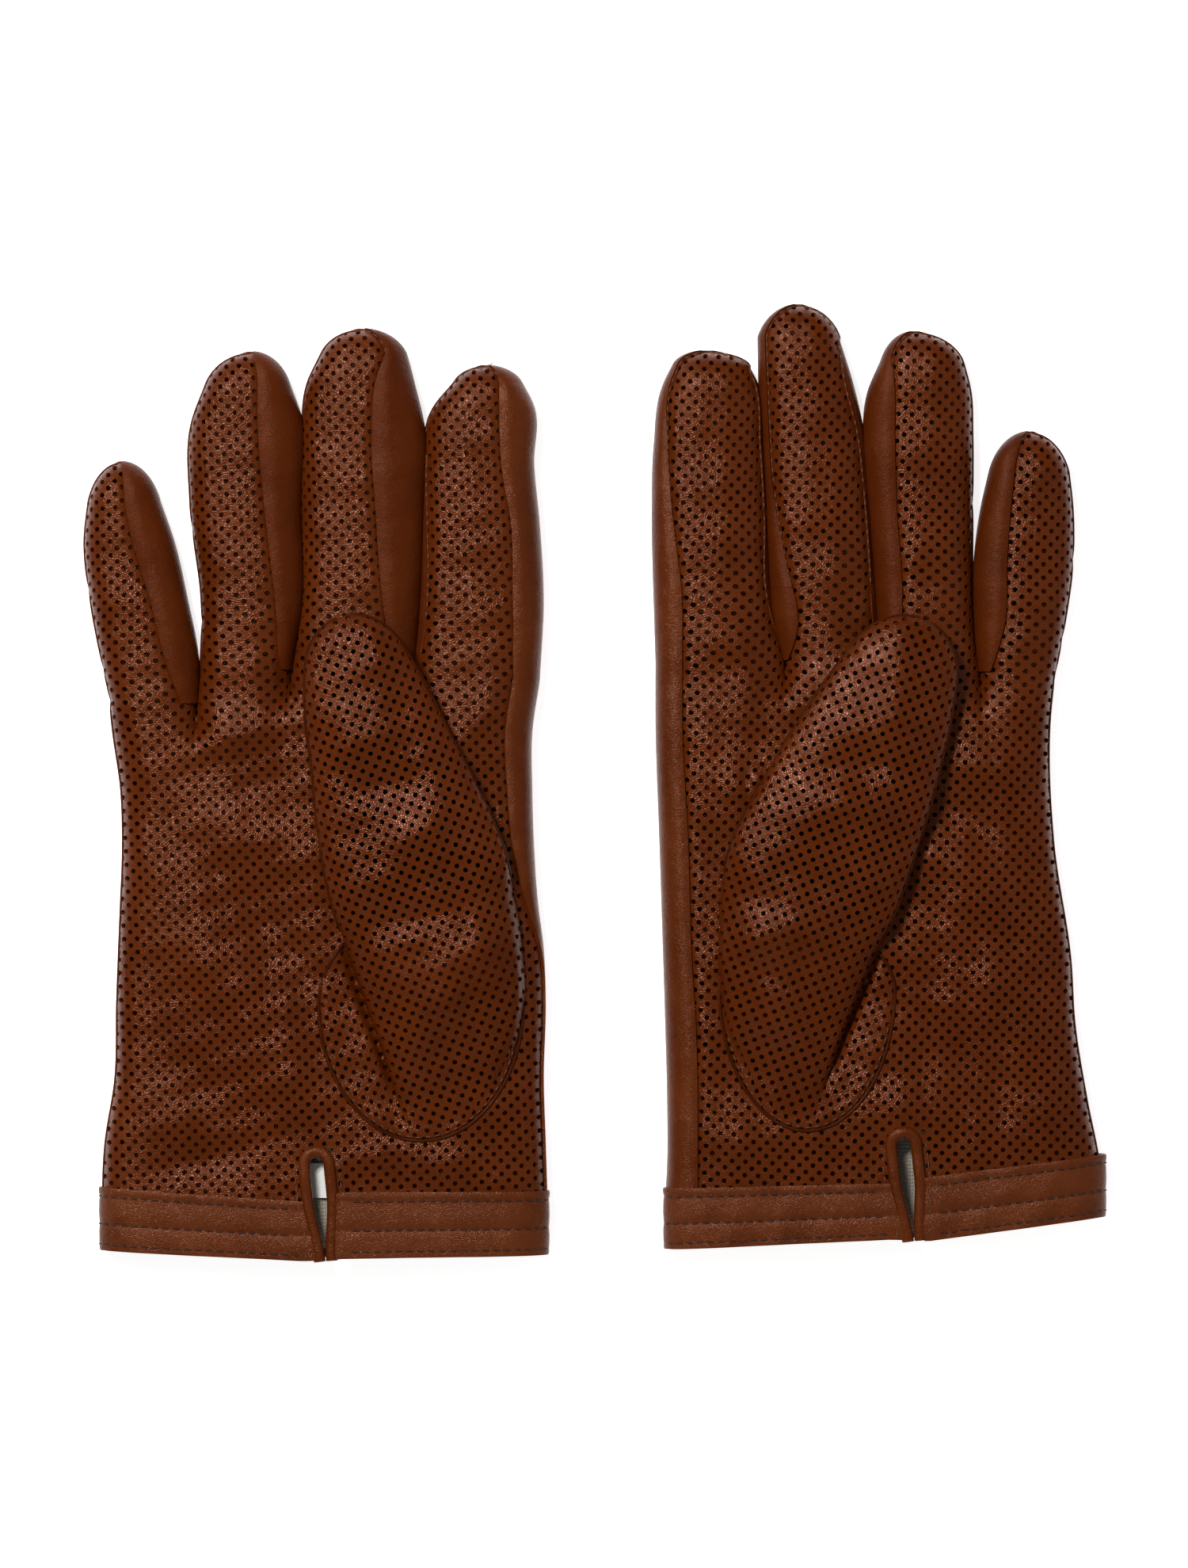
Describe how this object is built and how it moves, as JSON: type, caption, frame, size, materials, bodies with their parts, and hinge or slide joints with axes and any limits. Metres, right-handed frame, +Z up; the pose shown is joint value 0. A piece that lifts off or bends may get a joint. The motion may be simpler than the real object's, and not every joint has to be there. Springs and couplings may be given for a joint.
{
  "type": "pair of leather gloves",
  "caption": "Pair of tan-brown leather dress gloves with perforated palms, smooth backs, a stitched wrist band and a bound wrist vent, lying flat with palms up.",
  "frame": {"origin": "middle of the pair's footprint, on the surface the gloves lie on", "axes": "+X from the right-hand glove to the left-hand glove, +Y from the cuffs to the fingertips, +Z up out of the palms"},
  "size_m": [0.265, 0.2478, 0.0215],
  "materials": {
    "perforated_leather": "glazed tan-brown leather with rows of small punched holes",
    "smooth_leather": "smooth tan-brown leather with fine grain and a soft sheen",
    "fourchette_leather": "smooth tan-brown leather with fine creases",
    "band_leather": "smooth folded leather with stitched rows, lightly worn",
    "knit_lining": "fine pale knit",
    "label_cloth": "blank woven label"
  },
  "bodies": {
    "right_palm": {"right_palm_front": "perforated_leather", "right_palm_back": "smooth_leather", "right_fork_gussets": "fourchette_leather", "right_cuff_band": "band_leather", "right_vent_binding": "band_leather", "right_lining": "knit_lining", "right_thumb_base": "perforated_leather", "right_label": "label_cloth"},
    "right_index_middle": {"right_index_front": "perforated_leather", "right_index_back": "smooth_leather", "right_index_fourchettes": "fourchette_leather"},
    "right_index_end": {"right_index_tip": "perforated_leather", "right_index_tip_fourchettes": "fourchette_leather"},
    "right_middle_middle": {"right_middle_front": "perforated_leather", "right_middle_back": "smooth_leather", "right_middle_fourchettes": "fourchette_leather"},
    "right_middle_end": {"right_middle_tip": "perforated_leather", "right_middle_tip_fourchettes": "fourchette_leather"},
    "right_ring_middle": {"right_ring_front": "perforated_leather", "right_ring_back": "smooth_leather", "right_ring_fourchettes": "fourchette_leather"},
    "right_ring_end": {"right_ring_tip": "perforated_leather", "right_ring_tip_fourchettes": "fourchette_leather"},
    "right_little_middle": {"right_little_front": "perforated_leather", "right_little_back": "smooth_leather", "right_little_fourchettes": "fourchette_leather"},
    "right_little_end": {"right_little_tip": "perforated_leather", "right_little_tip_fourchettes": "fourchette_leather"},
    "right_thumb_middle": {"right_thumb": "perforated_leather"},
    "right_thumb_end": {"right_thumb_tip": "perforated_leather"},
    "left_palm": {"left_palm_front": "perforated_leather", "left_palm_back": "smooth_leather", "left_fork_gussets": "fourchette_leather", "left_cuff_band": "band_leather", "left_vent_binding": "band_leather", "left_lining": "knit_lining", "left_thumb_base": "perforated_leather"},
    "left_index_middle": {"left_index_front": "perforated_leather", "left_index_back": "smooth_leather", "left_index_fourchettes": "fourchette_leather"},
    "left_index_end": {"left_index_tip": "perforated_leather", "left_index_tip_fourchettes": "fourchette_leather"},
    "left_middle_middle": {"left_middle_front": "perforated_leather", "left_middle_back": "smooth_leather", "left_middle_fourchettes": "fourchette_leather"},
    "left_middle_end": {"left_middle_tip": "perforated_leather", "left_middle_tip_fourchettes": "fourchette_leather"},
    "left_ring_middle": {"left_ring_front": "perforated_leather", "left_ring_back": "smooth_leather", "left_ring_fourchettes": "fourchette_leather"},
    "left_ring_end": {"left_ring_tip": "perforated_leather", "left_ring_tip_fourchettes": "fourchette_leather"},
    "left_little_middle": {"left_little_front": "perforated_leather", "left_little_back": "smooth_leather", "left_little_fourchettes": "fourchette_leather"},
    "left_little_end": {"left_little_tip": "perforated_leather", "left_little_tip_fourchettes": "fourchette_leather"},
    "left_thumb_middle": {"left_thumb": "perforated_leather"},
    "left_thumb_end": {"left_thumb_tip": "perforated_leather"}
  },
  "joints": [
    {"name": "right_index_bend", "type": "hinge", "parent": "right_palm", "child": "right_index_middle", "pos_m": [-0.0298, 0.05214, 0.0105], "axis": [1, 0, 0], "range_deg": [0, 100]},
    {"name": "right_index_tip_bend", "type": "hinge", "parent": "right_index_middle", "child": "right_index_end", "pos_m": [-0.0299, 0.07914, 0.0105], "axis": [1, 0, 0], "range_deg": [0, 70]},
    {"name": "right_middle_bend", "type": "hinge", "parent": "right_palm", "child": "right_middle_middle", "pos_m": [-0.0619, 0.05314, 0.0105], "axis": [1, 0, 0], "range_deg": [0, 100]},
    {"name": "right_middle_tip_bend", "type": "hinge", "parent": "right_middle_middle", "child": "right_middle_end", "pos_m": [-0.0606, 0.08414, 0.0105], "axis": [1, 0, 0], "range_deg": [0, 70]},
    {"name": "right_ring_bend", "type": "hinge", "parent": "right_palm", "child": "right_ring_middle", "pos_m": [-0.0904, 0.05214, 0.0105], "axis": [1, 0, 0], "range_deg": [0, 100]},
    {"name": "right_ring_tip_bend", "type": "hinge", "parent": "right_ring_middle", "child": "right_ring_end", "pos_m": [-0.0913, 0.08014, 0.0105], "axis": [1, 0, 0], "range_deg": [0, 70]},
    {"name": "right_little_bend", "type": "hinge", "parent": "right_palm", "child": "right_little_middle", "pos_m": [-0.11665, 0.04014, 0.0105], "axis": [1, 0, 0], "range_deg": [0, 100]},
    {"name": "right_little_tip_bend", "type": "hinge", "parent": "right_little_middle", "child": "right_little_end", "pos_m": [-0.12135, 0.06114, 0.0105], "axis": [1, 0, 0], "range_deg": [0, 70]},
    {"name": "right_thumb_lift", "type": "hinge", "parent": "right_palm", "child": "right_thumb_middle", "pos_m": [-0.0451, -0.02486, 0.021], "axis": [0.9588, 0.284, 0], "range_deg": [0, 80]},
    {"name": "right_thumb_tip_bend", "type": "hinge", "parent": "right_thumb_middle", "child": "right_thumb_end", "pos_m": [-0.0551, 0.00889, 0.021], "axis": [0.9588, 0.284, 0], "range_deg": [0, 70]},
    {"name": "left_glove_slide", "type": "slide", "parent": "right_palm", "child": "left_palm", "axis": [1, 0, 0], "range_m": [0, 0.15]},
    {"name": "left_index_bend", "type": "hinge", "parent": "left_palm", "child": "left_index_middle", "pos_m": [0.0297, 0.05694, 0.0105], "axis": [1, 0, 0], "range_deg": [0, 100]},
    {"name": "left_index_tip_bend", "type": "hinge", "parent": "left_index_middle", "child": "left_index_end", "pos_m": [0.0295, 0.08394, 0.0105], "axis": [1, 0, 0], "range_deg": [0, 70]},
    {"name": "left_middle_bend", "type": "hinge", "parent": "left_palm", "child": "left_middle_middle", "pos_m": [0.05915, 0.06094, 0.0105], "axis": [1, 0, 0], "range_deg": [0, 100]},
    {"name": "left_middle_tip_bend", "type": "hinge", "parent": "left_middle_middle", "child": "left_middle_end", "pos_m": [0.0569, 0.09294, 0.0105], "axis": [1, 0, 0], "range_deg": [0, 70]},
    {"name": "left_ring_bend", "type": "hinge", "parent": "left_palm", "child": "left_ring_middle", "pos_m": [0.0864, 0.05894, 0.0105], "axis": [1, 0, 0], "range_deg": [0, 100]},
    {"name": "left_ring_tip_bend", "type": "hinge", "parent": "left_ring_middle", "child": "left_ring_end", "pos_m": [0.0849, 0.08694, 0.0105], "axis": [1, 0, 0], "range_deg": [0, 70]},
    {"name": "left_little_bend", "type": "hinge", "parent": "left_palm", "child": "left_little_middle", "pos_m": [0.1116, 0.04794, 0.0105], "axis": [1, 0, 0], "range_deg": [0, 100]},
    {"name": "left_little_tip_bend", "type": "hinge", "parent": "left_little_middle", "child": "left_little_end", "pos_m": [0.11245, 0.06894, 0.0105], "axis": [1, 0, 0], "range_deg": [0, 70]},
    {"name": "left_thumb_lift", "type": "hinge", "parent": "left_palm", "child": "left_thumb_middle", "pos_m": [0.0562, -0.02506, 0.021], "axis": [0.9178, -0.3971, 0], "range_deg": [0, 80]},
    {"name": "left_thumb_tip_bend", "type": "hinge", "parent": "left_thumb_middle", "child": "left_thumb_end", "pos_m": [0.07109, 0.00936, 0.021], "axis": [0.9178, -0.3971, 0], "range_deg": [0, 70]}
  ]
}
